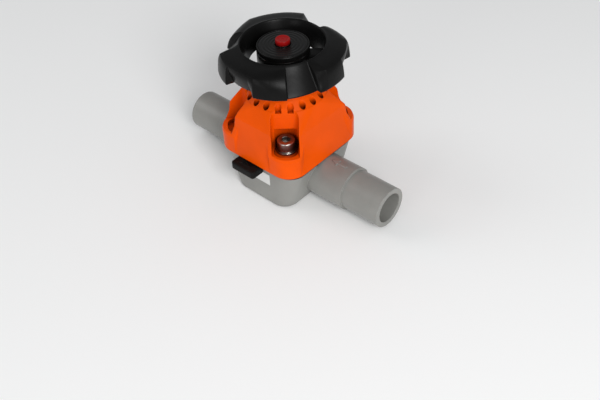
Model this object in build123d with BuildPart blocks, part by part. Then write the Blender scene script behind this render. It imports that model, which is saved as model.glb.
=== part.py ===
"""Weir-type diaphragm valve, DN 15, with plain spigot ends and a rising stem under a fixed handwheel.

Millimetres. Origin at the centre of the flat foot, +X along the flow, +Z up along the stem.
Modelled fully open, with the stem at the top of its travel.
"""
from build123d import *

import os
from math import atan2, ceil, cos, degrees, hypot, radians, sin, sqrt

# ---- driving dimensions ------------------------------------------------------------------
# Pipe line
AXIS_Z = 12.0                 # pipe axis above the foot
FACE_TO_FACE = 124.0
BORE_R = 7.5
SPIGOT_R = 10.0
SPIGOT_LENGTH = 20.9
COLLAR_R = 10.95

# Body block and weir chamber
BODY_FOOT_X, BODY_TOP_X = 35.5, 46.8  # the block widens upwards along the flow
BODY_Y, BODY_CORNER_R = 47.0, 8.0
BODY_TOP = 21.0
BOWL_R = 13.0                 # chamber mouth in the clamping face
THROAT_R = 8.2                # the passage widens from the bores to this inside the bowl
WEIR_CREST_Z = 14.5           # lowest point of the weir's saddle
WEIR_TOP_WIDTH = 3.0
WEIR_FOOT_WIDTH = 15.0
ARROW_X, ARROW_LENGTH, ARROW_WIDTH, ARROW_HEIGHT = 27.5, 9.0, 4.0, 0.35
LABEL_X, LABEL_Z, LABEL_THICKNESS = (-4.0, 8.2), (12.2, 18.6), 0.2

# Screw motion
PITCH = 2.0
TURNS = 3.75
STROKE = PITCH * TURNS
GAP = 0.3                     # air between parts that pass each other
RUN = 0.05                    # running clearance on a radius
SLIP = 0.15                   # axial play at a thrust face

# Diaphragm
RIM_TOP = 23.4                # clamped rim reaches from BODY_TOP to here
MEMBRANE_LOW = WEIR_CREST_Z + STROKE
BOSS_R, BOSS_TOP = 6.0, WEIR_CREST_Z + STROKE + 3.6
TAB_X = (-10.0, 4.5)
TAB_END_Y = -31.0
TAB_Z = (18.6, 22.6)

# Bonnet
BONNET_FOOT = (49.8, 52.0, 9.6)      # width in X, width in Y, corner radius at the lower edge
BONNET_CREASE = (44.8, 47.2, 8.6)    # the same at the crease
CREASE_Z = 44.0
SHOULDER_R, SHOULDER_Z = 19.6, 52.6
NECK_R, NECK_FOOT_Z, NECK_TOP = 15.5, 57.0, 62.0
CAVITY_R = 11.6
LEDGE_Z = 50.5                       # underside of the neck, which takes the closing thrust
VENT_COUNT, VENT_RING_R, VENT_R = 20, 18.0, 1.5
VENT_FLOOR_Z = 51.2

# Corner screws
SCREW_X, SCREW_Y = 13.4, 15.8
SCREW_R, SCREW_HOLE_R, SCREW_LENGTH = 2.5, 2.75, 20.0
HEAD_R, HEAD_HEIGHT, HEX_FLATS, HEX_DEPTH = 4.25, 5.0, 4.0, 2.6
WASHER_R, WASHER_THICKNESS = 4.9, 1.0
POCKET_FLOOR_Z, POCKET_ROOF_Z, POCKET_R = 32.3, 42.6, 5.6
CHANNEL_BACK_R, CHANNEL_WIDTH, CHANNEL_CORNER_R = 18.4, 13.0, 3.0
CHANNEL_REACH = 20.0
POCKET_FRONT_R, POCKET_FRONT_CORNER = 29.2, 4.0
LIP_Z = 34.4
LIP_WIDTH, LIP_UPRIGHT_Z, LIP_BLEND_Z = 2.0, 33.0, 39.0   # the corners stand upright, then lean in
INSERT_R, INSERT_LENGTH = 3.2, 9.0
BASE_HOLE_PITCH, BASE_HOLE_R = 25.0, 2.5

# Stem, nut and compressor
STEM_THREAD_R, STEM_END_R = 5.0, 3.3
STEM_THREAD_TOP, STEM_TOP = 66.0, 78.2
STEM_FOOT_Z, STEM_FOOT_R = 33.2, 4.0
COMPRESSOR_LOW = BOSS_TOP + GAP
COMPRESSOR_R, COMPRESSOR_DOME_R = 10.2, 13.5
COMPRESSOR_HUB_R, COMPRESSOR_TOP = 6.5, 38.5
WING_REACH, WING_WIDTH, WING_Z = 13.7, 4.4, (31.2, 36.5)
SLOT_REACH, SLOT_WIDTH, SLOT_TOP = 14.1, 5.0, 43.0
PIN_R, PIN_Z = 1.25, 35.4
NUT_FLANGE_Z, NUT_FLANGE_R = 47.0, 10.5
NUT_R, NUT_SHOULDER_Z, NUT_TOP = 8.0, 64.0, 72.8
NUT_HEX_FLATS, NUT_CLEAR_R, NUT_CLEAR_Z = 13.6, 5.6, 60.0
WASHER_LOW_THICKNESS = 0.5

# Handwheel
WHEEL_LOW, WHEEL_TOP = 66.5, 78.0
PETALS, PETAL_START_DEG = 3, 345.0
PETAL_R, RECESS_R, NOTCH_R = 30.5, 26.5, (29.4, 28.1)
RIM_INNER_R, RIM_THROAT_R = 19.5, 15.8
WALL = 2.4
HUB_R, HUB_LOW, HUB_FLOOR, HUB_RIM = 12.2, 62.65, 71.0, 74.0
HUB_TOP = 76.5
CUP_R = 10.6
SPOKE_ANGLES = (40.0, 160.0, 280.0)
SPOKE_WIDTH, SPOKE_Z = 7.0, (67.5, 72.0)
COVER_HOLE_R = 3.7
INDICATOR_R, INDICATOR_TOP = 3.4, 79.1
PLUG_R, PLUG_DEPTH = 1.5, 2.6

screw_places = [(sx * SCREW_X, sy * SCREW_Y) for sx in (1, -1) for sy in (1, -1)]
screw_ring_r = hypot(SCREW_X, SCREW_Y)
corner_angles = [degrees(atan2(y, x)) for x, y in screw_places]
pocket_depth = POCKET_FRONT_R - screw_ring_r + 2.0    # the part of a pocket in front of its screw

os.makedirs("parts", exist_ok=True)


def tube(outer_r, inner_r, low, high):
    """Plain ring between two heights, built outside any other part."""
    with BuildPart() as ring:
        with BuildSketch(Plane.XY.offset(low)):
            Circle(outer_r)
            Circle(inner_r, mode=Mode.SUBTRACT)
        extrude(amount=high - low)
    return ring


# ---- body --------------------------------------------------------------------------------
# The weir is a ridge across the flow whose crest is a saddle, an arc seen along the flow.
crest_rise = BODY_TOP - WEIR_CREST_Z
saddle_r = (BOWL_R**2 + crest_rise**2) / (2 * crest_rise)
with BuildPart() as weir_form:
    with BuildSketch(Plane.XZ.offset(-BOWL_R - 1.5)):
        with BuildLine():
            Polyline(
                (-WEIR_FOOT_WIDTH / 2, 2.0),
                (-WEIR_TOP_WIDTH / 2, BODY_TOP),
                (WEIR_TOP_WIDTH / 2, BODY_TOP),
                (WEIR_FOOT_WIDTH / 2, 2.0),
                close=True,
            )
        make_face()
    extrude(amount=2 * BOWL_R + 3.0)
    with Locations((0, 0, WEIR_CREST_Z + saddle_r)):
        Cylinder(saddle_r, WEIR_FOOT_WIDTH + 2, rotation=(0, 90, 0), mode=Mode.SUBTRACT)
    fillet(weir_form.edges().filter_by(GeomType.ELLIPSE), 1.2)

with BuildPart() as valve_body:
    with BuildSketch():
        RectangleRounded(BODY_FOOT_X, BODY_Y, BODY_CORNER_R)
    with BuildSketch(Plane.XY.offset(BODY_TOP)):
        RectangleRounded(BODY_TOP_X, BODY_Y, BODY_CORNER_R)
    loft(ruled=True)
    fillet(valve_body.faces().sort_by(Axis.Z)[0].edges(), 1.6)
    with BuildSketch(Plane.YZ.offset(-FACE_TO_FACE / 2 + SPIGOT_LENGTH)):
        with Locations((0, AXIS_Z)):
            Circle(COLLAR_R)
    extrude(amount=FACE_TO_FACE - 2 * SPIGOT_LENGTH)
    with BuildSketch(Plane.YZ.offset(-FACE_TO_FACE / 2)):
        with Locations((0, AXIS_Z)):
            Circle(SPIGOT_R)
    extrude(amount=FACE_TO_FACE)
    # the collars stop level with the clamping face between the two sides of the block
    with Locations((0, 0, BODY_TOP)):
        Box(BODY_TOP_X, BODY_Y, 5.0, align=(Align.CENTER, Align.CENTER, Align.MIN), mode=Mode.SUBTRACT)
    # one straight bore from each end to the chamber, and a wider throat between them
    with BuildSketch(Plane.YZ.offset(-FACE_TO_FACE / 2), Plane.YZ.offset(BOWL_R)):
        with Locations((0, AXIS_Z)):
            Circle(BORE_R)
    extrude(amount=FACE_TO_FACE / 2 - BOWL_R, mode=Mode.SUBTRACT)
    with Locations((0, 0, AXIS_Z)):
        Cylinder(THROAT_R, 2 * BOWL_R, rotation=(0, 90, 0), mode=Mode.SUBTRACT)
    # bowl-shaped chamber, open at the clamping face
    with BuildSketch(Plane.XZ):
        with BuildLine():
            Polyline((0, AXIS_Z - BORE_R), (0, BODY_TOP + 0.5), (BOWL_R, BODY_TOP + 0.5), (BOWL_R, BODY_TOP - 1.5))
            RadiusArc((BOWL_R, BODY_TOP - 1.5), (5.0, AXIS_Z - BORE_R), 16.0)
            Line((5.0, AXIS_Z - BORE_R), (0, AXIS_Z - BORE_R))
        make_face()
    revolve(axis=Axis.Z, mode=Mode.SUBTRACT)
    add(weir_form.part)
    # raised arrow on the crown of the inlet collar, pointing along the flow
    with BuildSketch(Plane.XY.offset(AXIS_Z + COLLAR_R - 1.0)):
        with BuildLine():
            Polyline(
                (ARROW_X, 0),
                (ARROW_X + ARROW_WIDTH, ARROW_WIDTH / 2),
                (ARROW_X + ARROW_WIDTH, ARROW_WIDTH / 6),
                (ARROW_X + ARROW_LENGTH, ARROW_WIDTH / 6),
                (ARROW_X + ARROW_LENGTH, -ARROW_WIDTH / 6),
                (ARROW_X + ARROW_WIDTH, -ARROW_WIDTH / 6),
                (ARROW_X + ARROW_WIDTH, -ARROW_WIDTH / 2),
                close=True,
            )
        make_face()
    extrude(amount=1.0 + ARROW_HEIGHT)
    # pockets for the threaded inserts, under the screws and in the foot
    with Locations([(x, y, BODY_TOP) for x, y in screw_places]):
        Cylinder(INSERT_R, 10.0, align=(Align.CENTER, Align.CENTER, Align.MAX), mode=Mode.SUBTRACT)
    with Locations((0, -BASE_HOLE_PITCH / 2, 0), (0, BASE_HOLE_PITCH / 2, 0)):
        Cylinder(INSERT_R, 8.0, align=(Align.CENTER, Align.CENTER, Align.MIN), mode=Mode.SUBTRACT)
valve_body.part.label = "valve_body"
export_step(valve_body.part, "parts/valve_body.step")

# ---- bonnet ------------------------------------------------------------------------------
blend_share = (LIP_BLEND_Z - RIM_TOP) / (CREASE_Z - RIM_TOP)
blend_outline = [a + (b - a) * blend_share for a, b in zip(BONNET_FOOT, BONNET_CREASE)]
with BuildPart() as corner_lips:
    with BuildSketch(Plane.XY.offset(RIM_TOP)):
        RectangleRounded(*BONNET_FOOT)
    extrude(amount=LIP_UPRIGHT_Z - RIM_TOP)
    with BuildSketch(Plane.XY.offset(LIP_UPRIGHT_Z)):
        RectangleRounded(*BONNET_FOOT)
    with BuildSketch(Plane.XY.offset(LIP_BLEND_Z)):
        RectangleRounded(*blend_outline)
    loft(ruled=True)
    with BuildSketch(Plane.XY.offset(RIM_TOP)):
        for angle in corner_angles:
            with PolarLocations(CHANNEL_BACK_R + CHANNEL_WIDTH / 2, 1, start_angle=angle):
                Circle(CHANNEL_WIDTH / 2 + LIP_WIDTH)
    extrude(amount=LIP_BLEND_Z - RIM_TOP, mode=Mode.INTERSECT)

with BuildPart() as bonnet:
    for (low_z, low), (high_z, high) in (
        ((RIM_TOP, BONNET_FOOT), (CREASE_Z, BONNET_CREASE)),
        ((CREASE_Z, BONNET_CREASE), (SHOULDER_Z, (2 * SHOULDER_R, 2 * SHOULDER_R, SHOULDER_R - 0.6))),
    ):
        with BuildSketch(Plane.XY.offset(low_z)):
            RectangleRounded(*low)
        with BuildSketch(Plane.XY.offset(high_z)):
            RectangleRounded(*high)
        loft(ruled=True)
    add(corner_lips.part)
    with BuildSketch(Plane.XZ):
        with BuildLine():
            Polyline(
                (0, SHOULDER_Z - 0.5),
                (SHOULDER_R, SHOULDER_Z - 0.5),
                (SHOULDER_R, SHOULDER_Z),
                (NECK_R, NECK_FOOT_Z),
                (NECK_R, NECK_TOP),
                (0, NECK_TOP),
                close=True,
            )
        make_face()
    revolve(axis=Axis.Z)
    # open channels above the corner screws, with the deeper screw pockets at their foot
    with BuildSketch(Plane.XY.offset(LIP_Z)):
        for angle in corner_angles:
            with PolarLocations(CHANNEL_BACK_R + CHANNEL_REACH / 2, 1, start_angle=angle):
                RectangleRounded(CHANNEL_REACH, CHANNEL_WIDTH, CHANNEL_CORNER_R)
    extrude(amount=NECK_TOP - LIP_Z, mode=Mode.SUBTRACT)
    with BuildSketch(Plane.XY.offset(POCKET_FLOOR_Z)):
        for angle in corner_angles:
            with PolarLocations(screw_ring_r, 1, start_angle=angle):
                Circle(POCKET_R)
            with PolarLocations(POCKET_FRONT_R - pocket_depth / 2, 1, start_angle=angle):
                RectangleRounded(pocket_depth, 2 * POCKET_R, POCKET_FRONT_CORNER)
    extrude(amount=POCKET_ROOF_Z - POCKET_FLOOR_Z, mode=Mode.SUBTRACT)
    # cavity for diaphragm and compressor, nut seat and neck bore
    with BuildSketch(Plane.XZ):
        with BuildLine():
            Polyline(
                (0, RIM_TOP - 1),
                (BOWL_R, RIM_TOP - 1),
                (BOWL_R, RIM_TOP + 4),
                (CAVITY_R, RIM_TOP + 5.4),
                (CAVITY_R, LEDGE_Z),
                (NUT_R + RUN, LEDGE_Z),
                (NUT_R + RUN, NECK_TOP + 1),
                (0, NECK_TOP + 1),
                close=True,
            )
        make_face()
    revolve(axis=Axis.Z, mode=Mode.SUBTRACT)
    with BuildSketch(Plane.XY.offset(RIM_TOP)):
        Rectangle(2 * SLOT_REACH, SLOT_WIDTH)
    extrude(amount=SLOT_TOP - RIM_TOP, mode=Mode.SUBTRACT)
    with Locations([(x, y, RIM_TOP) for x, y in screw_places]):
        Cylinder(SCREW_HOLE_R, 12.0, align=(Align.CENTER, Align.CENTER, Align.MIN), mode=Mode.SUBTRACT)
    with BuildSketch(Plane.XY.offset(VENT_FLOOR_Z)):
        with PolarLocations(VENT_RING_R, VENT_COUNT, start_angle=corner_angles[1] + 180 / VENT_COUNT):
            Circle(VENT_R)
    extrude(amount=NECK_TOP - VENT_FLOOR_Z, mode=Mode.SUBTRACT)
bonnet.part.label = "bonnet"
export_step(bonnet.part, "parts/bonnet.step")


# ---- diaphragm ---------------------------------------------------------------------------
with BuildPart() as diaphragm:
    with BuildSketch(Plane.XY.offset(BODY_TOP)):
        RectangleRounded(BODY_TOP_X - 0.4, BODY_Y - 0.4, BODY_CORNER_R)
        with Locations(screw_places):
            Circle(SCREW_HOLE_R, mode=Mode.SUBTRACT)
        Circle(BOWL_R - 0.5, mode=Mode.SUBTRACT)
    extrude(amount=RIM_TOP - BODY_TOP)
    # the membrane rises a little from the rim to the thick boss in the middle
    with BuildSketch(Plane.XZ):
        with BuildLine():
            Polyline(
                (0, MEMBRANE_LOW),
                (BOSS_R, MEMBRANE_LOW),
                (BOWL_R - 0.5, BODY_TOP),
                (BOWL_R - 0.5, RIM_TOP),
                (BOSS_R + 1.0, MEMBRANE_LOW + 2.2),
                (BOSS_R, BOSS_TOP),
                (0, BOSS_TOP),
                close=True,
            )
        make_face()
    revolve(axis=Axis.Z)
    # identification tab that sticks out under the bonnet
    with BuildSketch(Plane.XY.offset(TAB_Z[0])):
        with Locations(((TAB_X[0] + TAB_X[1]) / 2, TAB_END_Y)):
            Rectangle(TAB_X[1] - TAB_X[0], -TAB_END_Y - BODY_Y / 2, align=(Align.CENTER, Align.MIN))
    extrude(amount=TAB_Z[1] - TAB_Z[0])
    tab_corners = diaphragm.edges().filter_by(Axis.Z).group_by(Axis.Y)[0]
    chamfer(tab_corners, 1.4)
    fillet(diaphragm.faces().sort_by(Axis.Y)[0].edges().filter_by(Axis.X), 0.5)
    # the rim meets the tab through the gap between body and bonnet
    with Locations(((TAB_X[0] + TAB_X[1]) / 2, -BODY_Y / 2, BODY_TOP)):
        Box(
            TAB_X[1] - TAB_X[0],
            2.0,
            TAB_Z[1] - BODY_TOP,
            align=(Align.CENTER, Align.CENTER, Align.MIN),
        )
    # seat of the moulded-in stud
    with Locations((0, 0, MEMBRANE_LOW + 1.2)):
        Cylinder(4.05, 1.3, align=(Align.CENTER, Align.CENTER, Align.MIN), mode=Mode.SUBTRACT)
        Cylinder(2.55, 5.0, align=(Align.CENTER, Align.CENTER, Align.MIN), mode=Mode.SUBTRACT)
diaphragm.part.label = "diaphragm"
export_step(diaphragm.part, "parts/diaphragm.step")

with BuildPart() as diaphragm_stud:
    with Locations((0, 0, MEMBRANE_LOW + 1.25)):
        Cylinder(4.0, 1.2, align=(Align.CENTER, Align.CENTER, Align.MIN))
        Cylinder(2.5, 7.6, align=(Align.CENTER, Align.CENTER, Align.MIN))
    chamfer(diaphragm_stud.faces().sort_by(Axis.Z)[-1].edges(), 0.4)
diaphragm_stud.part.label = "diaphragm_stud"
export_step(diaphragm_stud.part, "parts/diaphragm_stud.step")

# ---- compressor and its cross pin --------------------------------------------------------
dome_rise = COMPRESSOR_DOME_R - sqrt(COMPRESSOR_DOME_R**2 - COMPRESSOR_R**2)
with BuildPart() as compressor:
    with BuildSketch(Plane.XZ):
        with BuildLine():
            RadiusArc((0, COMPRESSOR_LOW), (COMPRESSOR_R, COMPRESSOR_LOW + dome_rise), -COMPRESSOR_DOME_R)
            Polyline(
                (COMPRESSOR_R, COMPRESSOR_LOW + dome_rise),
                (COMPRESSOR_R, WING_Z[1]),
                (COMPRESSOR_HUB_R, WING_Z[1] + 1.0),
                (COMPRESSOR_HUB_R, COMPRESSOR_TOP),
                (0, COMPRESSOR_TOP),
                (0, COMPRESSOR_LOW),
            )
        make_face()
    revolve(axis=Axis.Z)
    with BuildSketch(Plane.XY.offset(WING_Z[0])):
        Rectangle(2 * WING_REACH, WING_WIDTH)
    extrude(amount=WING_Z[1] - WING_Z[0])
    with Locations((0, 0, COMPRESSOR_LOW - 1)):
        Cylinder(2.53, 7.0, align=(Align.CENTER, Align.CENTER, Align.MIN), mode=Mode.SUBTRACT)
    with Locations((0, 0, STEM_FOOT_Z - 0.05)):
        Cylinder(STEM_FOOT_R + 0.03, 8.0, align=(Align.CENTER, Align.CENTER, Align.MIN), mode=Mode.SUBTRACT)
    with Locations((0, 0, PIN_Z)):
        Cylinder(PIN_R + 0.02, 40.0, rotation=(90, 0, 0), mode=Mode.SUBTRACT)
compressor.part.label = "compressor"
export_step(compressor.part, "parts/compressor.step")

with BuildPart() as compressor_pin:
    with Locations((0, 0, PIN_Z)):
        Cylinder(PIN_R, 2 * COMPRESSOR_R - 1.6, rotation=(90, 0, 0))
compressor_pin.part.label = "compressor_pin"
export_step(compressor_pin.part, "parts/compressor_pin.step")

# ---- stem, stop sleeve, indicator --------------------------------------------------------
with BuildPart() as stem:
    with BuildSketch(Plane.XZ):
        with BuildLine():
            Polyline(
                (0, STEM_FOOT_Z),
                (STEM_FOOT_R, STEM_FOOT_Z),
                (STEM_FOOT_R, COMPRESSOR_TOP + 0.05),
                (STEM_THREAD_R, COMPRESSOR_TOP + 0.05),
                (STEM_THREAD_R, STEM_THREAD_TOP - 1.0),
                (STEM_THREAD_R - 1.0, STEM_THREAD_TOP),
                (STEM_END_R, STEM_THREAD_TOP),
                (STEM_END_R, STEM_TOP - 0.4),
                (STEM_END_R - 0.4, STEM_TOP),
                (PLUG_R, STEM_TOP),
                (PLUG_R, STEM_TOP - PLUG_DEPTH),
                (0, STEM_TOP - PLUG_DEPTH),
                close=True,
            )
        make_face()
    revolve(axis=Axis.Z)
    with Locations((0, 0, PIN_Z)):
        Cylinder(PIN_R + 0.02, 20.0, rotation=(90, 0, 0), mode=Mode.SUBTRACT)
stem.part.label = "stem"
export_step(stem.part, "parts/stem.step")

stem_stop_sleeve = tube(7.4, STEM_THREAD_R + 0.1, COMPRESSOR_TOP + 0.05, NUT_FLANGE_Z - GAP)
chamfer(stem_stop_sleeve.edges().filter_by(GeomType.CIRCLE), 0.4)
stem_stop_sleeve.part.label = "stem_stop_sleeve"
export_step(stem_stop_sleeve.part, "parts/stem_stop_sleeve.step")

with BuildPart() as indicator_cap:
    with BuildSketch(Plane.XZ):
        with BuildLine():
            Polyline(
                (0, INDICATOR_TOP),
                (0, STEM_TOP + 0.05 - PLUG_DEPTH),
                (PLUG_R - 0.02, STEM_TOP + 0.05 - PLUG_DEPTH),
                (PLUG_R - 0.02, STEM_TOP + 0.05),
                (INDICATOR_R, STEM_TOP + 0.05),
                (INDICATOR_R, INDICATOR_TOP - 0.5),
            )
            RadiusArc((INDICATOR_R, INDICATOR_TOP - 0.5), (INDICATOR_R - 0.4, INDICATOR_TOP - 0.1), -0.4)
            Line((INDICATOR_R - 0.4, INDICATOR_TOP - 0.1), (0, INDICATOR_TOP))
        make_face()
    revolve(axis=Axis.Z)
indicator_cap.part.label = "indicator_cap"
export_step(indicator_cap.part, "parts/indicator_cap.step")

# ---- spindle nut and what runs on it -----------------------------------------------------
with BuildPart() as spindle_nut:
    with BuildSketch(Plane.XZ):
        with BuildLine():
            Polyline(
                (STEM_THREAD_R + RUN, NUT_FLANGE_Z),
                (NUT_FLANGE_R, NUT_FLANGE_Z),
                (NUT_FLANGE_R, LEDGE_Z - WASHER_LOW_THICKNESS - SLIP),
                (NUT_R, LEDGE_Z - WASHER_LOW_THICKNESS - SLIP),
                (NUT_R, NUT_SHOULDER_Z),
                (NUT_HEX_FLATS / 2, NUT_SHOULDER_Z),
                (NUT_HEX_FLATS / 2, NUT_TOP),
                (NUT_CLEAR_R, NUT_TOP),
                (NUT_CLEAR_R, NUT_CLEAR_Z),
                (STEM_THREAD_R + RUN, NUT_CLEAR_Z),
                close=True,
            )
        make_face()
    revolve(axis=Axis.Z)
    with BuildSketch(Plane.XY.offset(NUT_SHOULDER_Z)):
        RegularPolygon(NUT_HEX_FLATS / 2, 6, major_radius=False)
        Circle(NUT_CLEAR_R, mode=Mode.SUBTRACT)
    extrude(amount=HUB_FLOOR - NUT_SHOULDER_Z)
    # grooves for the O-ring and the retaining ring
    with Locations((0, 0, 56.0)):
        Torus(NUT_R, 1.0, mode=Mode.SUBTRACT)
    with BuildSketch(Plane.XY.offset(HUB_FLOOR + 0.05)):
        Circle(NUT_HEX_FLATS / 2 + 1)
        Circle(6.3, mode=Mode.SUBTRACT)
    extrude(amount=1.0, mode=Mode.SUBTRACT)
spindle_nut.part.label = "spindle_nut"
export_step(spindle_nut.part, "parts/spindle_nut.step")

with BuildPart() as nut_oring:
    with Locations((0, 0, 56.0)):
        Torus(NUT_R - 0.02, 0.97)
    with Locations((0, 0, 56.0)):
        Cylinder(NUT_R + 0.02, 4.0, mode=Mode.INTERSECT)
nut_oring.part.label = "nut_oring"
export_step(nut_oring.part, "parts/nut_oring.step")

stem_wiper = tube(NUT_CLEAR_R - 0.02, STEM_END_R + RUN, STEM_THREAD_TOP + 0.5, STEM_THREAD_TOP + 2.5)
stem_wiper.part.label = "stem_wiper"
export_step(stem_wiper.part, "parts/stem_wiper.step")

lower_thrust_washer = tube(NUT_FLANGE_R, NUT_R + 0.1, LEDGE_Z - WASHER_LOW_THICKNESS, LEDGE_Z)
lower_thrust_washer.part.label = "lower_thrust_washer"
export_step(lower_thrust_washer.part, "parts/lower_thrust_washer.step")

upper_thrust_washer = tube(HUB_R - 0.7, NUT_R + 0.1, NECK_TOP, NECK_TOP + WASHER_LOW_THICKNESS)
upper_thrust_washer.part.label = "upper_thrust_washer"
export_step(upper_thrust_washer.part, "parts/upper_thrust_washer.step")

with BuildPart() as wheel_retaining_ring:
    with BuildSketch(Plane.XY.offset(HUB_FLOOR + 0.1)):
        Circle(8.8)
        Circle(6.35, mode=Mode.SUBTRACT)
        with Locations((7.0, 0)):
            Rectangle(6.0, 3.0, mode=Mode.SUBTRACT)
    extrude(amount=0.9)
wheel_retaining_ring.part.label = "wheel_retaining_ring"
export_step(wheel_retaining_ring.part, "parts/wheel_retaining_ring.step")

# ---- handwheel ---------------------------------------------------------------------------
# Sections (radius, height) of the rim shell, outer face first. Each of the petals has a full wall,
# a finger recess under an unchanged shoulder, a shoulder that sinks, and a notch before the next.
CREST_ROOT = (20.1, 77.2)     # where every section starts, inside the crest ring
petal_lead = [
    CREST_ROOT,
    (22.4, 76.6),
    (26.6, 73.0),
    (PETAL_R, WHEEL_LOW),
    (PETAL_R - WALL, WHEEL_LOW),
    (24.8, 70.8),
    (CREST_ROOT[0], 74.4),
]
petal_full = [
    CREST_ROOT,
    (28.0, 76.8),
    (29.6, 75.3),
    (PETAL_R, WHEEL_LOW),
    (PETAL_R - WALL, WHEEL_LOW),
    (27.0, 73.6),
    (CREST_ROOT[0], 75.0),
]
petal_recess = [
    CREST_ROOT,
    (28.0, 76.8),
    (29.5, 75.3),
    (RECESS_R, WHEEL_LOW),
    (RECESS_R - WALL, WHEEL_LOW),
    (26.4, 73.6),
    (CREST_ROOT[0], 75.0),
]
petal_sinking = [
    CREST_ROOT,
    (26.8, 75.4),
    (29.3, 72.9),
    (PETAL_R, WHEEL_LOW),
    (PETAL_R - WALL, WHEEL_LOW),
    (26.3, 71.2),
    (CREST_ROOT[0], 75.0),
]
petal_end = [
    CREST_ROOT,
    (24.2, 74.0),
    (28.4, 70.4),
    (PETAL_R, WHEEL_LOW),
    (PETAL_R - WALL, WHEEL_LOW),
    (25.6, 68.8),
    (CREST_ROOT[0], 74.4),
]
notch_start = [
    CREST_ROOT,
    (21.3, 76.0),
    (25.4, 71.2),
    (NOTCH_R[0], WHEEL_LOW),
    (NOTCH_R[0] - WALL, WHEEL_LOW),
    (23.2, 70.6),
    (CREST_ROOT[0], 74.3),
]
notch_end = [
    CREST_ROOT,
    (21.1, 76.0),
    (24.7, 71.2),
    (NOTCH_R[1], WHEEL_LOW),
    (NOTCH_R[1] - WALL, WHEEL_LOW),
    (22.6, 70.6),
    (CREST_ROOT[0], 74.3),
]
# (start angle, end angle, section at the start, section at the end), from the petal's leading edge
petal_spans = (
    (0.0, 8.0, petal_lead, petal_full),
    (8.0, 30.0, petal_full, petal_full),
    (30.0, 55.0, petal_recess, petal_recess),
    (55.0, 61.0, petal_recess, petal_full),
    (61.0, 75.0, petal_full, petal_sinking),
    (75.0, 90.0, petal_sinking, petal_end),
    (90.0, 120.0, notch_start, notch_end),
)
SPAN_STEP_DEG = 5.0


def radial_plane(angle):
    """Upright plane through the wheel axis, its local x pointing outwards at the angle."""
    outwards = (cos(radians(angle)), sin(radians(angle)), 0)
    return Plane(origin=(0, 0, 0), x_dir=outwards, z_dir=(outwards[1], -outwards[0], 0))


def mixed(first, last, share):
    """Section between two others, at a share of the way from the first to the last."""
    return [(a[0] + (b[0] - a[0]) * share, a[1] + (b[1] - a[1]) * share) for a, b in zip(first, last)]


with BuildPart() as petal:
    for start, end, first, last in petal_spans:
        if first is last:
            with BuildSketch(radial_plane(PETAL_START_DEG + start)):
                with BuildLine():
                    Polyline(*first, close=True)
                make_face()
            revolve(axis=Axis.Z, revolution_arc=end - start)
            continue
        steps = ceil((end - start) / SPAN_STEP_DEG)
        for step in range(steps):
            for share in (step / steps, (step + 1) / steps):
                with BuildSketch(radial_plane(PETAL_START_DEG + start + (end - start) * share)):
                    with BuildLine():
                        Polyline(*mixed(first, last, share), close=True)
                    make_face()
            loft(ruled=True)

with BuildPart() as handwheel:
    with PolarLocations(0, PETALS):
        add(petal.part)
    # funnel inside the rim, and the hub with its cup for the retaining ring
    with BuildSketch(Plane.XZ):
        with BuildLine():
            Polyline(
                (RIM_INNER_R, WHEEL_TOP),
                (RIM_THROAT_R, SPOKE_Z[0]),
                (RIM_THROAT_R + WALL, SPOKE_Z[0]),
                (CREST_ROOT[0] + 0.5, WHEEL_TOP - 4.2),
                (CREST_ROOT[0] + 0.5, WHEEL_TOP - 1.0),
                (RIM_INNER_R + 0.5, WHEEL_TOP - 0.1),
                close=True,
            )
        make_face()
    revolve(axis=Axis.Z)
    with BuildSketch(Plane.XY.offset(SPOKE_Z[0])):
        for angle in SPOKE_ANGLES:
            with PolarLocations(0, 1, start_angle=angle):
                Rectangle(RIM_THROAT_R + 2.1, SPOKE_WIDTH, align=(Align.MIN, Align.CENTER))
    extrude(amount=SPOKE_Z[1] - SPOKE_Z[0])
    with BuildSketch(Plane.XY.offset(HUB_LOW)):
        Circle(HUB_R)
    extrude(amount=HUB_RIM - HUB_LOW)
    with BuildSketch(Plane.XY.offset(HUB_LOW)):
        Circle(NUT_R + RUN)
    extrude(amount=NUT_SHOULDER_Z - HUB_LOW, mode=Mode.SUBTRACT)
    with BuildSketch(Plane.XY.offset(NUT_SHOULDER_Z)):
        RegularPolygon(NUT_HEX_FLATS / 2 + RUN, 6, major_radius=False)
    extrude(amount=HUB_FLOOR - NUT_SHOULDER_Z, mode=Mode.SUBTRACT)
    with BuildSketch(Plane.XY.offset(HUB_FLOOR)):
        Circle(CUP_R)
    extrude(amount=HUB_TOP - HUB_FLOOR, mode=Mode.SUBTRACT)
handwheel.part.label = "handwheel"
export_step(handwheel.part, "parts/handwheel.step")

# Cover disc with concentric grooves and a snap skirt that sits in the hub's cup
GROOVE_RADII = (6.0, 7.7, 9.4, 11.1)
with BuildPart() as hub_cover:
    with BuildSketch(Plane.XY.offset(HUB_RIM)):
        Circle(HUB_R)
    extrude(amount=HUB_TOP - HUB_RIM)
    fillet(hub_cover.faces().sort_by(Axis.Z)[-1].edges(), 0.5)
    with BuildSketch(Plane.XY.offset(HUB_FLOOR + 1.4)):
        Circle(CUP_R - 0.03)
    extrude(amount=HUB_RIM - HUB_FLOOR - 1.4)
    with BuildSketch(Plane.XY.offset(HUB_FLOOR)):
        Circle(CUP_R - 1.2)
    extrude(amount=HUB_RIM - HUB_FLOOR, mode=Mode.SUBTRACT)
    with BuildSketch(Plane.XY.offset(HUB_FLOOR)):
        Circle(COVER_HOLE_R)
    extrude(amount=HUB_TOP - HUB_FLOOR, mode=Mode.SUBTRACT)
    with BuildSketch(Plane.XY.offset(HUB_TOP - 0.25)):
        for groove_r in GROOVE_RADII:
            Circle(groove_r + 0.35)
            Circle(groove_r, mode=Mode.SUBTRACT)
    extrude(amount=0.25, mode=Mode.SUBTRACT)
hub_cover.part.label = "hub_cover"
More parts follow.
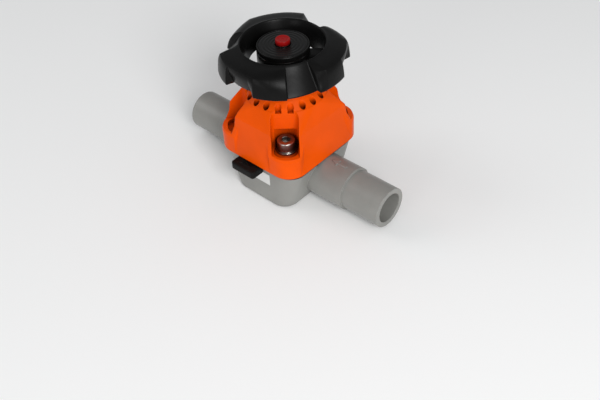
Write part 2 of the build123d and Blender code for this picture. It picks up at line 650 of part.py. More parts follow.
export_step(hub_cover.part, "parts/hub_cover.step")

# ---- corner screws, washers, inserts, label ----------------------------------------------
head_low = POCKET_FLOOR_Z + WASHER_THICKNESS
with BuildPart() as bonnet_screws:
    with Locations([(x, y, head_low) for x, y in screw_places]):
        Cylinder(HEAD_R, HEAD_HEIGHT, align=(Align.CENTER, Align.CENTER, Align.MIN))
        Cylinder(SCREW_R, SCREW_LENGTH, align=(Align.CENTER, Align.CENTER, Align.MAX))
    tops = bonnet_screws.faces().filter_by(Axis.Z).group_by(Axis.Z)[-1]
    fillet(tops.edges(), 0.5)
    with BuildSketch(Plane.XY.offset(head_low + HEAD_HEIGHT - HEX_DEPTH)):
        with Locations(screw_places):
            RegularPolygon(HEX_FLATS / 2, 6, major_radius=False)
    extrude(amount=HEX_DEPTH, mode=Mode.SUBTRACT)
bonnet_screws.part.label = "bonnet_screws"
export_step(bonnet_screws.part, "parts/bonnet_screws.step")

with BuildPart() as screw_washers:
    with BuildSketch(Plane.XY.offset(POCKET_FLOOR_Z)):
        with Locations(screw_places):
            Circle(WASHER_R)
            Circle(SCREW_R + 0.15, mode=Mode.SUBTRACT)
    extrude(amount=WASHER_THICKNESS)
screw_washers.part.label = "screw_washers"
export_step(screw_washers.part, "parts/screw_washers.step")

with BuildPart() as body_inserts:
    with BuildSketch(Plane.XY.offset(BODY_TOP - 0.2 - INSERT_LENGTH)):
        with Locations(screw_places):
            Circle(INSERT_R)
            Circle(SCREW_R + 0.03, mode=Mode.SUBTRACT)
    extrude(amount=INSERT_LENGTH)
body_inserts.part.label = "body_inserts"
export_step(body_inserts.part, "parts/body_inserts.step")

with BuildPart() as base_inserts:
    with BuildSketch(Plane.XY.offset(0.2)):
        with Locations((0, -BASE_HOLE_PITCH / 2), (0, BASE_HOLE_PITCH / 2)):
            Circle(INSERT_R)
            Circle(BASE_HOLE_R, mode=Mode.SUBTRACT)
    extrude(amount=7.5)
base_inserts.part.label = "base_inserts"
export_step(base_inserts.part, "parts/base_inserts.step")

with BuildPart() as body_label:
    with Locations(((LABEL_X[0] + LABEL_X[1]) / 2, -BODY_Y / 2, (LABEL_Z[0] + LABEL_Z[1]) / 2)):
        Box(
            LABEL_X[1] - LABEL_X[0],
            LABEL_THICKNESS,
            LABEL_Z[1] - LABEL_Z[0],
            align=(Align.CENTER, Align.MAX, Align.CENTER),
        )
body_label.part.label = "body_label"
export_step(body_label.part, "parts/body_label.step")
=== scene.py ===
"""Looks of a DN 15 weir diaphragm valve: finishes for its parts, a smooth handwheel rim, a
diaphragm, a dished indicator head and a pale studio. Lengths are metres unless a name ends in _mm.
"""
import math

import bpy
import numpy as np
from mathutils import Matrix, Vector

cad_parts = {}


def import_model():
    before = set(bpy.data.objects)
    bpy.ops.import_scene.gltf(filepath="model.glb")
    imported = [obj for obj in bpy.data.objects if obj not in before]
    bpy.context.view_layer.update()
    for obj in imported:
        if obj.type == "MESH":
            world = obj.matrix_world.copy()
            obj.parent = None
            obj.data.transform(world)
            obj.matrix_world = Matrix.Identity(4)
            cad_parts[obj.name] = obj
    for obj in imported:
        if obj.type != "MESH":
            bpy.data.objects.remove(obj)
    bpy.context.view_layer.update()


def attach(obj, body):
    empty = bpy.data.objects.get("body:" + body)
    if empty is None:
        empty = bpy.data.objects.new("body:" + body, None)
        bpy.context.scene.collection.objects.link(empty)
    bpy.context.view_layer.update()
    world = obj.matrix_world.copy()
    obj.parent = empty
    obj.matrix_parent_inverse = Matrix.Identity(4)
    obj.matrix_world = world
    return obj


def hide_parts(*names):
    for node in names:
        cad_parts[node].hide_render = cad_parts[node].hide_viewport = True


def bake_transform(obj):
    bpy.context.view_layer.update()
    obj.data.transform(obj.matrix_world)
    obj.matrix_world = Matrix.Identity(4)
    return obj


bl_info = {
    "name": "Diaphragm valve looks",
    "version": (1, 0, 0),
    "blender": (4, 5, 0),
    "location": "View3D > Sidebar > Valve",
    "description": "Gives a diaphragm valve its finishes, handwheel rim, diaphragm and studio",
    "category": "Object",
}

MM = 0.001
FULL_TURN = 2 * math.pi

# ---- shader constants --------------------------------------------------------------------
# ramps as (nothing below, all above)
BROAD_MOTTLE = (0.32, 0.70)
EDGE_BREAKUP_MASK = (0.42, 0.62)
SPECK_MASK = (0.60, 0.74)
METAL_CLOUD = (0.35, 0.68)
EDGE_TURN = (0.004, 0.12)
HOLLOW_SHADE = (0.35, 0.95)
# noise scales, in features a metre
BROAD_SCALE, EDGE_BREAKUP_SCALE, SPECK_SCALE, RIPPLE_SCALE, CLOUD_SCALE = 38.0, 240.0, 900.0, 310.0, 160.0
RING_SPREAD = 260.0
DUST_COLOUR = (0.42, 0.40, 0.37)
# reach in metres and colour share of the painted shade in hollows, for plastic and then for metal
PLASTIC_SHADE_REACH, PLASTIC_SHADE_SHARE = 0.009, 0.16
METAL_SHADE_REACH, METAL_SHADE_SHARE = 0.008, 0.12

# ---- colours and groups of parts ---------------------------------------------------------
LABEL_WHITE = (0.70, 0.70, 0.685)
COMPRESSOR_GREY = (0.075, 0.075, 0.08)
BRASS, STAINLESS, STEM_STEEL = (0.76, 0.55, 0.24), (0.62, 0.60, 0.57), (0.50, 0.49, 0.48)
BRASS_NODES = ("body_inserts", "base_inserts", "spindle_nut")
STAINLESS_NODES = ("bonnet_screws", "screw_washers", "wheel_retaining_ring", "diaphragm_stud", "compressor_pin")
DARK_NODES = ("compressor", "stem_stop_sleeve", "lower_thrust_washer", "upper_thrust_washer")
SEAL_NODES = ("nut_oring", "stem_wiper")

# ---- handwheel ---------------------------------------------------------------------------
PETAL_TURN = 120.0
CORNER_REACH = 0.0011
# Rim sections in millimetres as (radius, height), by degrees from a petal's leading edge. In order:
# crest, upper shoulder, outer foot, inner foot, inner shoulder, and the height of the throat's top.
RIM_SECTIONS = (
    (0.0, (22.4, 76.6), (26.6, 73.0), (30.5, 66.5), (28.1, 66.5), (24.8, 70.8), 74.4),
    (7.5, (27.6, 76.8), (29.5, 75.0), (30.5, 66.5), (28.1, 66.5), (27.0, 73.2), 75.0),
    (29.6, (27.9, 76.7), (29.5, 75.0), (30.5, 66.5), (28.1, 66.5), (27.0, 73.2), 75.0),
    (30.3, (27.9, 76.7), (29.3, 75.0), (26.5, 66.5), (24.1, 66.5), (26.4, 73.2), 75.0),
    (55.0, (27.9, 76.7), (29.3, 75.0), (26.5, 66.5), (24.1, 66.5), (26.4, 73.2), 75.0),
    (61.0, (27.9, 76.7), (29.5, 75.0), (30.5, 66.5), (28.1, 66.5), (27.0, 73.2), 75.0),
    (75.0, (25.8, 77.0), (29.4, 72.9), (30.5, 66.5), (28.1, 66.5), (26.6, 71.8), 75.0),
    (90.0, (23.6, 77.4), (28.3, 72.6), (30.5, 66.5), (28.1, 66.5), (26.2, 70.8), 74.4),
    (90.7, (21.3, 76.0), (25.4, 71.2), (29.4, 66.5), (27.0, 66.5), (23.2, 70.6), 74.3),
    (119.4, (21.1, 76.0), (24.7, 71.2), (28.1, 66.5), (25.7, 66.5), (22.6, 70.6), 74.3),
    (PETAL_TURN, (22.4, 76.6), (26.6, 73.0), (30.5, 66.5), (28.1, 66.5), (24.8, 70.8), 74.4),
)
# corners that stay the same all the way round, before and after the tabled ones
RIM_INSIDE_MM = ((19.55, 78.0), (20.3, 77.6))
THROAT_TOP_RADIUS_MM = 20.6
RIM_THROAT_MM = ((18.2, 67.5), (15.8, 67.5))
RIM_REACH_MM = (0.3, 0.6, 1.6, 1.4, 0.5, 0.5, 1.0, 0.8, 0.4, 0.4)
SPOKE_ANGLES = (40.0, 160.0, 280.0)
SPOKE_SECTION_MM = ((-3.5, 67.5), (3.5, 67.5), (3.5, 72.0), (-3.5, 72.0))
SPOKE_REACH_MM = 0.5
SPOKE_FROM_MM, SPOKE_TO_MM, SPOKE_STATIONS = 11.4, 17.4, 7

# ---- closed profiles of (radius, height), in millimetres ---------------------------------
HUB_PROFILE_MM = (
    (8.05, 62.65), (12.2, 62.65), (12.2, 74.0), (10.6, 74.0),
    (10.6, 71.0), (7.9, 71.0), (7.9, 64.0), (8.05, 64.0),
)
INDICATOR_PROFILE_MM = (
    (0.02, 77.8), (3.32, 77.8), (3.32, 76.9), (3.4, 76.9),
    (3.4, 79.1), (2.7, 79.1), (2.45, 78.75), (0.02, 78.75),
)
MEMBRANE_PROFILE_MM = (
    (0.02, 22.0), (6.0, 22.0), (9.4, 21.5), (12.45, 21.1), (12.45, 22.5),
    (9.4, 23.2), (6.8, 24.0), (6.0, 25.6), (0.02, 25.6),
)
# radii between which the membrane's computed share of the stem's travel goes from none to all
CLAMP_RADIUS, BOSS_RADIUS = 0.0124, 0.0066

# ---- studio ------------------------------------------------------------------------------
FLOOR_HEIGHT = -0.0002
LAMP_TARGET = (0.0, 0.0, 0.045)
SKY_COLOUR = (0.97, 0.985, 1.0, 1.0)
CAMERA_PLACE = (0.217460, -0.219229, 0.267252)
CAMERA_RIGHT = (0.74542257, 0.66506504, -0.04509647)
CAMERA_UP = (-0.42898062, 0.53039401, 0.731203)
CAMERA_BACK = (0.51021645, -0.52570971, 0.68066767)
SENSOR_WIDTH_MM, CLIP_START = 36.0, 0.01


# ---- settings ----------------------------------------------------------------------------
def colour_setting(name, description, default):
    return bpy.props.FloatVectorProperty(name=name, description=description, default=default, subtype="COLOR")


def length_setting(name, description, default):
    return bpy.props.FloatProperty(name=name, description=description, default=default, min=0.0, unit="LENGTH")


def amount_setting(name, description, default):
    return bpy.props.FloatProperty(name=name, description=description, default=default, min=0.0)


class ValveFinish(bpy.types.PropertyGroup):
    """Colours of the valve's materials, and their edge lightening as wear and as painted highlight."""

    bonnet_colour: colour_setting("Bonnet", "Moulded orange", (0.80, 0.082, 0.0))
    body_colour: colour_setting("Body", "Warm grey pipe plastic", (0.245, 0.243, 0.227))
    wheel_colour: colour_setting("Wheel", "Black of the handwheel", (0.0034, 0.0033, 0.0032))
    rubber_colour: colour_setting("Rubber", "Black of the diaphragm", (0.0045, 0.0043, 0.004))
    red_colour: colour_setting("Indicator", "Red of the position cap", (0.28, 0.004, 0.004))
    grain: length_setting("Grain", "Height of the moulded grain", 0.00002)
    edge_radius: length_setting("Edge radius", "Rounding seen on moulded edges", 0.0005)
    # this share lightens edges, partly as wear and partly as painted highlight
    wear_and_edge_highlight: amount_setting("Wear", "Share of lightening on rubbed edges", 0.25)


class ValveWheel(bpy.types.PropertyGroup):
    """Shape of the handwheel's rim."""

    start: bpy.props.FloatProperty(
        name="Start", description="Leading edge of the first petal", default=math.radians(345), subtype="ANGLE"
    )
    steps: bpy.props.IntProperty(
        name="Steps", description="Sections round the rim", default=900, min=120, max=1400
    )
    corner: length_setting("Corner", "Reach of the rounding at each corner", CORNER_REACH)


class ValveStage(bpy.types.PropertyGroup):
    """Floor, lamps and camera."""

    floor_size: length_setting("Floor", "Side of the floor", 6.0)
    floor_colour: colour_setting("Floor colour", "Pale floor", (0.96, 0.96, 0.955))
    sky: amount_setting("Sky", "Strength of the even light", 0.42)
    backdrop: amount_setting("Backdrop", "Paleness of the sky", 0.88)
    key: amount_setting("Key", "Watts of the main lamp", 8.2)
    fill: amount_setting("Fill", "Watts of the side lamps", 1.8)
    lens: amount_setting("Lens", "Focal length in millimetres", 47.68)


# ---- shader helpers ----------------------------------------------------------------------
class Value:
    """A shader socket that takes part in sums, so that formulas read as formulas."""

    def __init__(self, graph, socket):
        self.graph, self.socket = graph, socket

    def _math(self, operation, *operands):
        node = self.graph.tree.nodes.new("ShaderNodeMath")
        node.operation = operation
        for slot, operand in zip(node.inputs, operands):
            self.graph.feed(slot, operand)
        return Value(self.graph, node.outputs[0])

    def __add__(self, other):
        return self._math("ADD", self, other)

    def __sub__(self, other):
        return self._math("SUBTRACT", self, other)

    def __rsub__(self, other):
        return self._math("SUBTRACT", other, self)

    def __mul__(self, other):
        return self._math("MULTIPLY", self, other)

    __radd__, __rmul__ = __add__, __mul__

    def clamp(self):
        return self._math("MAXIMUM", self._math("MINIMUM", self, 1.0), 0.0)


class Graph:
    """One material's node tree, with a single method for any node."""

    def __init__(self, name):
        self.material = bpy.data.materials.new(name)
        self.material.use_nodes = True
        self.tree = self.material.node_tree
        self.tree.nodes.clear()

    def feed(self, slot, value):
        """Links a Value or a socket into the slot, or sets a constant there."""
        if isinstance(value, Value):
            value = value.socket
        if isinstance(value, bpy.types.NodeSocket):
            self.tree.links.new(value, slot)
        elif hasattr(value, "__len__"):
            slot.default_value = (*value, 1.0)[: len(slot.default_value)]
        else:
            slot.default_value = value

    def node(self, kind, output=0, settings=(), **inputs):
        """Any other node: settings are its properties, inputs its sockets by name, with underscores
        for spaces, or by number after an i."""
        node = self.tree.nodes.new("ShaderNode" + kind)
        for key, value in dict(settings).items():
            setattr(node, key, value)
        for key, value in inputs.items():
            index = int(key[1:]) if key[0] == "i" and key[1:].isdigit() else key.replace("_", " ")
            self.feed(node.inputs[index], value)
        return Value(self, node.outputs[output])

    def place(self):
        """Object coordinates, in metres."""
        return self.node("TexCoord", "Object")

    def noise(self, scale, detail=3.0, rough=0.55, vector=None):
        """Even noise from 0 to 1 over object space."""
        vector = self.place() if vector is None else vector
        return self.node("TexNoise", "Fac", Vector=vector, Scale=scale, Detail=detail, Roughness=rough)

    def stretched(self, x, y, z):
        """Object coordinates scaled along each axis."""
        return self.node("Mapping", 0, {"vector_type": "POINT"}, Vector=self.place(), Scale=(x, y, z))

    def ramp(self, value, limits):
        """0 below the first limit, 1 above the second, smooth between."""
        low, high = limits
        return self.node(
            "MapRange", 0, {"interpolation_type": "SMOOTHSTEP"},
            Value=value, From_Min=low, From_Max=high, To_Min=0.0, To_Max=1.0,
        )

    def mix(self, share, first, second):
        """Colour mix of two colours."""
        return self.node("Mix", 2, {"data_type": "RGBA"}, Factor=share, i6=first, i7=second)

    def edges(self, radius):
        """(normal with rounded edges, share of how near an edge the point is)."""
        rounded = self.node("Bevel", 0, {"samples": 6}, Radius=radius)
        flat = self.node("NewGeometry", "Normal")
        agree = self.node("VectorMath", "Value", {"operation": "DOT_PRODUCT"}, i0=rounded, i1=flat)
        return rounded, self.ramp(1.0 - agree, EDGE_TURN)

    def painted_hollow_shade(self, reach, depth):
        """Share of painted shade in corners and pockets within reach, where less light gets in."""
        open_sky = self.node("AmbientOcclusion", 1, {"samples": 8}, Distance=reach)
        return (self.ramp(1.0 - open_sky, HOLLOW_SHADE) * depth).clamp()

    def bump(self, height, distance, normal):
        return self.node("Bump", 0, Height=height, Distance=distance, Strength=1.0, Normal=normal)

    def surface(self, **inputs):
        """Principled surface from its inputs, by name with underscores for spaces."""
        shader = self.node("BsdfPrincipled", 0, **inputs)
        out = self.tree.nodes.new("ShaderNodeOutputMaterial")
        self.feed(out.inputs["Surface"], shader)
        return self.material


def scaled(colour, share, lift=0.0):
    """The colour times share plus lift, at most 1."""
    return tuple(min(1.0, part * share + lift) for part in colour)


def plastic(
    name, colour, finish, roughness, specular=0.5, mottling=0.10, grain_scale=2600.0,
    dust=0.0, shade=0.35, edge_wear_and_highlight=1.25, rings=0.0,
):
    """Moulded plastic: mottled colour, fine grain, rounded edges slightly lightened as wear and as painted
    highlight, painted shade in hollows, and turned rings round the upright axis where rings isn't 0."""
    graph = Graph(name)
    normal, edge = graph.edges(finish.edge_radius)
    broad = graph.noise(BROAD_SCALE, 4.0)
    fine = graph.noise(grain_scale, 2.0)
    darker = scaled(colour, 1.0 - 1.6 * mottling)
    lighter = scaled(colour, 1.0 + mottling, 0.004 * mottling)
    base = graph.mix(graph.ramp(broad, BROAD_MOTTLE), darker, lighter)
    edge_breakup = graph.ramp(graph.noise(EDGE_BREAKUP_SCALE, 5.0, 0.7), EDGE_BREAKUP_MASK)
    # edges lightened: partly wear, partly painted highlight along the edges
    base = graph.mix((edge * edge_breakup * finish.wear_and_edge_highlight).clamp(), base, scaled(colour, edge_wear_and_highlight, 0.02))
    if dust:
        up = graph.node("SeparateXYZ", 2, Vector=graph.node("NewGeometry", "Normal"))
        speck = graph.ramp(graph.noise(SPECK_SCALE, 3.0, 0.8), SPECK_MASK)
        base = graph.mix((up * speck * dust).clamp(), base, DUST_COLOUR)
    # painted shade: corners and pockets darkened towards a deep copy of the colour
    base = graph.mix(graph.painted_hollow_shade(PLASTIC_SHADE_REACH, shade), base, scaled(colour, PLASTIC_SHADE_SHARE))
    rough = roughness + (broad - 0.5) * 0.16 + edge * -0.05 + (fine - 0.5) * 0.05
    relief = fine * 0.7 + graph.noise(RIPPLE_SCALE, 3.0) * 2.4
    if rings:
        round_z = {"wave_type": "RINGS", "rings_direction": "Z"}
        relief = relief + graph.node("TexWave", "Fac", round_z, Vector=graph.place(), Scale=rings) * 4.0
    return graph.surface(
        Base_Color=base,
        Roughness=rough.clamp(),
        Specular_IOR_Level=specular,
        Normal=graph.bump(relief, finish.grain, normal),
    )


def metal(name, colour, finish, roughness, rings, edge_radius=0.0002):
    """Turned metal: fine rings round the upright axis, cloudy roughness, edges brightened as wear and as
    painted highlight, and painted shade in hollows.
    """
    graph = Graph(name)
    normal, edge = graph.edges(edge_radius)
    cloud = graph.noise(CLOUD_SCALE, 5.0)
    lines = graph.noise(1.0, 2.0, 0.6, graph.stretched(RING_SPREAD, RING_SPREAD, rings))
    base = graph.mix(graph.ramp(cloud, METAL_CLOUD), scaled(colour, 0.72), colour)
    # edges brightened: partly wear, partly painted highlight along the edges
    base = graph.mix((edge * finish.wear_and_edge_highlight).clamp(), base, scaled(colour, 1.25))
    # painted shade: corners and pockets darkened towards a deep copy of the colour
    base = graph.mix(graph.painted_hollow_shade(METAL_SHADE_REACH, 0.8), base, scaled(colour, METAL_SHADE_SHARE))
    return graph.surface(
        Base_Color=base,
        Metallic=1.0,
        Roughness=(roughness + (cloud - 0.5) * 0.2 + (lines - 0.5) * 0.12).clamp(),
        Normal=graph.bump(lines, 0.00002, normal),
    )


def dress(node, material):
    """Gives a CAD node or a piece its material."""
    node.data.materials.clear()
    node.data.materials.append(material)


def dress_named(material, *names):
    """Gives CAD nodes, by name, their material."""
    for name in names:
        dress(bpy.data.objects[name], material)


# ---- numpy surfaces ----------------------------------------------------------------------
def grid_mesh(name, points, close_rows=True, close_columns=True):
    """Mesh over a grid of two parameters: points[i, j] is joined to its next row and column."""
    rows, columns = points.shape[:2]
    number = np.arange(rows * columns, dtype=np.int32).reshape(rows, columns)
    below, beside = np.roll(number, -1, 0), np.roll(number, -1, 1)
    across = np.roll(below, -1, 1)
    quads = np.stack([number, below, across, beside], -1)
    quads = quads[: rows if close_rows else -1, : columns if close_columns else -1].reshape(-1, 4)
    mesh = bpy.data.meshes.new(name)
    mesh.vertices.add(rows * columns)
    mesh.vertices.foreach_set("co", points.astype(np.float32).ravel())
    mesh.loops.add(quads.size)
    mesh.loops.foreach_set("vertex_index", quads.ravel())
    mesh.polygons.add(len(quads))
    mesh.polygons.foreach_set("loop_start", np.arange(0, quads.size, 4, dtype=np.int32))
    mesh.polygons.foreach_set("use_smooth", np.ones(len(quads), bool))
    mesh.update(calc_edges=True)
    mesh.validate()
    piece = bpy.data.objects.new(name, mesh)
    bpy.context.scene.collection.objects.link(piece)
    return piece


def set_back(corners, towards, reach):
    """Points moved from the corners towards their neighbours by reach, at most 0.45 of the side."""
    length = np.maximum(np.linalg.norm(towards, axis=-1, keepdims=True), 1e-9)
    return corners + towards * np.minimum(0.45, reach / length)


def rounded_loop(corners, reach, passes=2):
    """Closed outlines with rounded corners: each corner (..., k, 2) becomes two points set back along
    its sides, and each pass then cuts the corners by a quarter."""
    back = set_back(corners, np.roll(corners, 1, -2) - corners, reach)
    ahead = set_back(corners, np.roll(corners, -1, -2) - corners, reach)
    loop = np.stack([back, ahead], -2).reshape(*corners.shape[:-2], -1, 2)
    for _ in range(passes):
        following = np.roll(loop, -1, -2)
        loop = np.stack([loop * 0.75 + following * 0.25, loop * 0.25 + following * 0.75], -2)
        loop = loop.reshape(*corners.shape[:-2], -1, 2)
    return loop


def around(radius, angle, height):
    """Points from cylindrical coordinates."""
    x, y = radius * np.cos(angle), radius * np.sin(angle)
    return np.stack([x, y, np.broadcast_to(height, x.shape)], -1)


def turned(name, profile_mm, steps=192, corner_mm=0.25):
    """Solid of revolution: a closed profile of (radius, height) with rounded corners, swept round Z."""
    loop = rounded_loop(np.array(profile_mm, float), corner_mm) * MM
    angle = np.linspace(0.0, FULL_TURN, steps, endpoint=False)[:, None]
    return grid_mesh(name, around(loop[:, 0], angle, loop[:, 1]))


def rounded_rectangle(width, depth, corner, count):
    """count points round a rectangle with corner arcs, the same number of points in each quarter."""
    share = np.linspace(0.0, 1.0, count // 4, endpoint=False)
    quarter = []
    for turn, (sx, sy) in enumerate(((1, 1), (-1, 1), (-1, -1), (1, -1))):
        angle = (turn + share) * math.pi / 2
        quarter.append(np.stack([
            sx * (width / 2 - corner) + corner * np.cos(angle),
            sy * (depth / 2 - corner) + corner * np.sin(angle),
        ], -1))
    return np.concatenate(quarter)


def plate(name, width, depth, corner, low, high, edge, centre=(0.0, 0.0), hole=0.0, count=192):
    """Flat plate with rounded corners and edges, and a round hole or none. Each row is the outline
    drawn in by its distance from the edge, and the last rows run to the hole's circle."""
    turn = np.linspace(0.0, math.pi / 2, 5)
    rows = [(edge * (1 - math.sin(a)), low + edge * (1 - math.cos(a))) for a in turn]
    rows += [(edge * (1 - math.sin(a)), high - edge * (1 - math.cos(a))) for a in turn[::-1]]
    shapes = []
    for inset, height in rows:
        outline = rounded_rectangle(width - 2 * inset, depth - 2 * inset, max(corner - inset, 1e-5), count)
        shapes.append(np.column_stack([outline + centre, np.full(count, height)]))
    outline = rounded_rectangle(width, depth, corner, count)
    facing = np.arctan2(outline[:, 1], outline[:, 0])
    ring = np.column_stack([hole * np.cos(facing), hole * np.sin(facing)]) + centre
    for height in (high, low):
        shapes.append(np.column_stack([ring, np.full(count, height)]))
    return grid_mesh(name, np.array(shapes))


def rim_points(wheel):
    """Grid round the wheel: each section is found between the tabled ones, and its corners rounded."""
    table = np.array([np.hstack(section) for section in RIM_SECTIONS])
    turn = np.linspace(0.0, 360.0, wheel.steps, endpoint=False)
    tabled = [np.interp(turn % PETAL_TURN, table[:, 0], column) for column in table[:, 1:].T]
    corners = np.empty((wheel.steps, len(RIM_REACH_MM), 2))
    corners[:, :2] = RIM_INSIDE_MM
    corners[:, 2:7] = np.stack(tabled[:10], -1).reshape(-1, 5, 2)
    corners[:, 7, 0], corners[:, 7, 1] = THROAT_TOP_RADIUS_MM, tabled[10]
    corners[:, 8:] = RIM_THROAT_MM
    reach = np.array(RIM_REACH_MM)[:, None] * (wheel.corner / CORNER_REACH)
    loop = rounded_loop(corners, reach) * MM
    return around(loop[..., 0], np.radians(turn)[:, None] + wheel.start, loop[..., 1])


def spoke(name, angle):
    """Flat bar from the hub to the rim: a rounded cross-section carried along the radius."""
    section = rounded_loop(np.array(SPOKE_SECTION_MM), SPOKE_REACH_MM) * MM
    along = np.linspace(SPOKE_FROM_MM, SPOKE_TO_MM, SPOKE_STATIONS)[:, None] * MM
    facing = math.radians(angle)
    x = along * math.cos(facing) - section[:, 0] * math.sin(facing)
    y = along * math.sin(facing) + section[:, 0] * math.cos(facing)
    return grid_mesh(name, np.stack([x, y, np.broadcast_to(section[:, 1], x.shape)], -1), close_rows=False)


def stem_share(membrane):
    """Share of the stem's travel at each vertex, falling smoothly from the boss to the clamped edge."""
    places = np.empty(len(membrane.data.vertices) * 3, np.float32)
    membrane.data.vertices.foreach_get("co", places)
    radius = np.hypot(*places.reshape(-1, 3)[:, :2].T)
    share = np.clip((CLAMP_RADIUS - radius) / (CLAMP_RADIUS - BOSS_RADIUS), 0.0, 1.0)
    return (share * share * (3 - 2 * share)).astype(np.float32)


# ---- operators ---------------------------------------------------------------------------
class VALVE_OT_handwheel(bpy.types.Operator):
    """Builds the handwheel's rim, spokes and hub, and gives the hub cover its finish"""

    bl_idname = "valve.handwheel"
    bl_label = "Handwheel"

    def execute(self, context):
        finish, wheel = context.scene.valve_finish, context.scene.valve_wheel
        black = plastic(
            "wheel_plastic", finish.wheel_colour, finish, 0.34, specular=0.11, mottling=0.16, grain_scale=2200.0
        )
        pieces = [grid_mesh("handwheel_rim", rim_points(wheel)), turned("handwheel_hub", HUB_PROFILE_MM)]
        pieces += [spoke(f"handwheel_spoke_{n + 1}", angle) for n, angle in enumerate(SPOKE_ANGLES)]
        for piece in pieces:
            dress(piece, black)
            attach(piece, "handwheel_group")
        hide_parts("handwheel")
        disc = plastic(
            "hub_cover_plastic", finish.wheel_colour, finish, 0.31, specular=0.16, mottling=0.16, rings=200.0
        )
        dress_named(disc, "hub_cover")
        return {"FINISHED"}


class VALVE_OT_diaphragm(bpy.types.Operator):
    """Builds the diaphragm: a clamped rim with its tab, and a membrane whose share of the stem's travel is
    worked out and left unused
    """

    bl_idname = "valve.diaphragm"
    bl_label = "Diaphragm"

    def execute(self, context):
        finish = context.scene.valve_finish
        rubber = plastic(
            "diaphragm_rubber", finish.rubber_colour, finish, 0.48,
            specular=0.10, mottling=0.20, grain_scale=1500.0, dust=0.05,
        )
        rim = plate(
            "diaphragm_rim", width=0.0464, depth=0.0466, corner=0.008,
            low=0.021, high=0.0234, edge=0.0002, hole=CLAMP_RADIUS,
        )
        tab = plate(
            "diaphragm_tab", width=0.0145, depth=0.0079, corner=0.0014,
            low=0.0186, high=0.0226, edge=0.0005, centre=(-0.00275, -0.02705),
        )
        membrane = turned("diaphragm_membrane", MEMBRANE_PROFILE_MM, corner_mm=0.4)
        for piece in (rim, tab, membrane):
            dress(piece, rubber)
        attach(rim, "root")
        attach(tab, "root")
        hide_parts("diaphragm")
        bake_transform(membrane)
        stem_share(membrane)
        return {"FINISHED"}


class VALVE_OT_body(bpy.types.Operator):
    """Gives the body its grey plastic, and its label and brass inserts their finish"""

    bl_idname = "valve.body"
    bl_label = "Body"

    def execute(self, context):
        finish = context.scene.valve_finish
        # the body's edges are lightened strongly, partly as wear and partly as painted highlight on the collars
        # and corners
        grey = plastic(
            "body_plastic", finish.body_colour, finish, 0.36,
            specular=0.42, mottling=0.07, grain_scale=2000.0, dust=0.06, edge_wear_and_highlight=2.6,
        )
        dress_named(grey, "valve_body")
        white = plastic(
            "label_white", LABEL_WHITE, finish, 0.45, specular=0.4, mottling=0.04, grain_scale=3000.0
        )
        dress_named(white, "body_label")
        dress_named(metal("brass", BRASS, finish, 0.34, rings=4200.0), *BRASS_NODES)
        return {"FINISHED"}


class VALVE_OT_bonnet(bpy.types.Operator):
    """Gives the bonnet its orange plastic, and its screws and washers stainless steel"""

    bl_idname = "valve.bonnet"
    bl_label = "Bonnet"

    def execute(self, context):
        finish = context.scene.valve_finish
        # shade=1.0 gives the bonnet's pockets and channels the full painted shade
        orange = plastic(
            "bonnet_plastic", finish.bonnet_colour, finish, 0.34,
            specular=0.07, mottling=0.05, grain_scale=2400.0, shade=1.0,
        )
        dress_named(orange, "bonnet")
        dress_named(metal("stainless", STAINLESS, finish, 0.32, rings=3600.0), *STAINLESS_NODES)
        return {"FINISHED"}


class VALVE_OT_stem(bpy.types.Operator):
    """Gives the stem, its red head, the compressor and the hidden rings their finish"""

    bl_idname = "valve.stem"
    bl_label = "Stem"

    def execute(self, context):
        finish = context.scene.valve_finish
        dress_named(metal("stem_steel", STEM_STEEL, finish, 0.22, rings=5200.0), "stem")
        head = turned("indicator_head", INDICATOR_PROFILE_MM, steps=96, corner_mm=0.2)
        dress(head, plastic("indicator_red", finish.red_colour, finish, 0.34, specular=0.14, edge_wear_and_highlight=1.6))
        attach(head, "stem_group")
        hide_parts("indicator_cap")
        dark = plastic("compressor_plastic", COMPRESSOR_GREY, finish, 0.5, grain_scale=1800.0)
        dress_named(dark, *DARK_NODES)
        seal = plastic(
            "seal_rubber", finish.rubber_colour, finish, 0.55, specular=0.4, mottling=0.15, grain_scale=1500.0
        )
        dress_named(seal, *SEAL_NODES)
        return {"FINISHED"}


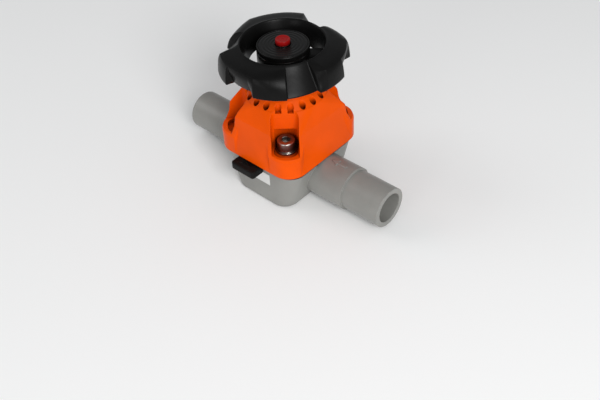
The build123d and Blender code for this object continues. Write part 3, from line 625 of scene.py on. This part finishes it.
class VALVE_OT_stage(bpy.types.Operator):
    """Makes the pale floor, the soft lamps, the even sky and the camera"""

    bl_idname = "valve.stage"
    bl_label = "Stage"

    def floor(self, stage):
        """Flat square just under the valve's foot."""
        half = stage.floor_size / 2
        corners = [[(x, y, FLOOR_HEIGHT) for x in (-half, half)] for y in (-half, half)]
        floor = grid_mesh("studio_floor", np.array(corners), False, False)
        graph = Graph("studio_floor")
        cloud = graph.noise(3.0, 4.0)
        base = graph.mix(cloud, scaled(stage.floor_colour, 0.98), stage.floor_colour)
        dress(floor, graph.surface(Base_Color=base, Roughness=(0.62 + cloud * 0.08).clamp()))

    def lamp(self, name, place, size, power):
        """Square soft lamp that faces the valve."""
        data = bpy.data.lights.new(name, "AREA")
        data.energy, data.size = power, size
        lamp = bpy.data.objects.new(name, data)
        lamp.location = place
        lamp.rotation_euler = (Vector(place) - Vector(LAMP_TARGET)).to_track_quat("Z", "Y").to_euler()
        bpy.context.scene.collection.objects.link(lamp)

    def sky(self, scene, stage):
        """Even light, with a backdrop that looks pale to the camera whatever light it gives."""
        world = bpy.data.worlds.new("studio_sky")
        world.use_nodes = True
        tree = world.node_tree
        sky = tree.nodes["Background"]
        sky.inputs["Color"].default_value = SKY_COLOUR
        seen = tree.nodes.new("ShaderNodeLightPath").outputs["Is Camera Ray"]
        strength = tree.nodes.new("ShaderNodeMapRange")
        tree.links.new(seen, strength.inputs["Value"])
        strength.inputs["To Min"].default_value = stage.sky
        strength.inputs["To Max"].default_value = stage.backdrop
        tree.links.new(strength.outputs[0], sky.inputs["Strength"])
        scene.world = world
        scene.view_settings.view_transform = "Standard"

    def camera(self, scene, stage):
        data = bpy.data.cameras.new("camera")
        data.lens, data.sensor_width, data.clip_start = stage.lens, SENSOR_WIDTH_MM, CLIP_START
        camera = bpy.data.objects.new("camera", data)
        turn = Matrix((CAMERA_RIGHT, CAMERA_UP, CAMERA_BACK)).transposed().to_4x4()
        camera.matrix_world = Matrix.Translation(CAMERA_PLACE) @ turn
        scene.collection.objects.link(camera)
        scene.camera = camera

    def execute(self, context):
        scene, stage = context.scene, context.scene.valve_stage
        self.floor(stage)
        self.lamp("key_lamp", (0.84, -0.42, 0.64), 0.40, stage.key)
        self.lamp("side_lamp", (-0.75, -0.45, 0.70), 0.50, stage.fill)
        self.lamp("low_lamp", (0.15, -0.95, 0.25), 0.30, stage.fill * 0.5)
        self.sky(scene, stage)
        self.camera(scene, stage)
        return {"FINISHED"}


class VALVE_PT_panel(bpy.types.Panel):
    """Sidebar panel with the settings and one button for each step"""

    bl_idname = "VALVE_PT_panel"
    bl_label = "Diaphragm valve"
    bl_space_type = "VIEW_3D"
    bl_region_type = "UI"
    bl_category = "Valve"

    def draw(self, context):
        for name in SETTINGS:
            group = getattr(context.scene, name)
            for key in group.bl_rna.properties.keys():
                if key not in ("rna_type", "name"):
                    self.layout.prop(group, key)
        for step in STEPS:
            self.layout.operator(step.bl_idname)


SETTINGS = {"valve_finish": ValveFinish, "valve_wheel": ValveWheel, "valve_stage": ValveStage}
STEPS = (
    VALVE_OT_body,
    VALVE_OT_diaphragm,
    VALVE_OT_bonnet,
    VALVE_OT_stem,
    VALVE_OT_handwheel,
    VALVE_OT_stage,
)


def register():
    for cls in (*SETTINGS.values(), *STEPS, VALVE_PT_panel):
        bpy.utils.register_class(cls)
    for name, group in SETTINGS.items():
        setattr(bpy.types.Scene, name, bpy.props.PointerProperty(type=group))


def unregister():
    for name in SETTINGS:
        delattr(bpy.types.Scene, name)
    for cls in (VALVE_PT_panel, *reversed(STEPS), *SETTINGS.values()):
        bpy.utils.unregister_class(cls)


def main():
    register()
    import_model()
    bpy.ops.valve.body()
    bpy.ops.valve.diaphragm()
    bpy.ops.valve.bonnet()
    bpy.ops.valve.stem()
    bpy.ops.valve.handwheel()
    bpy.ops.valve.stage()


if __name__ == "__main__":
    main()
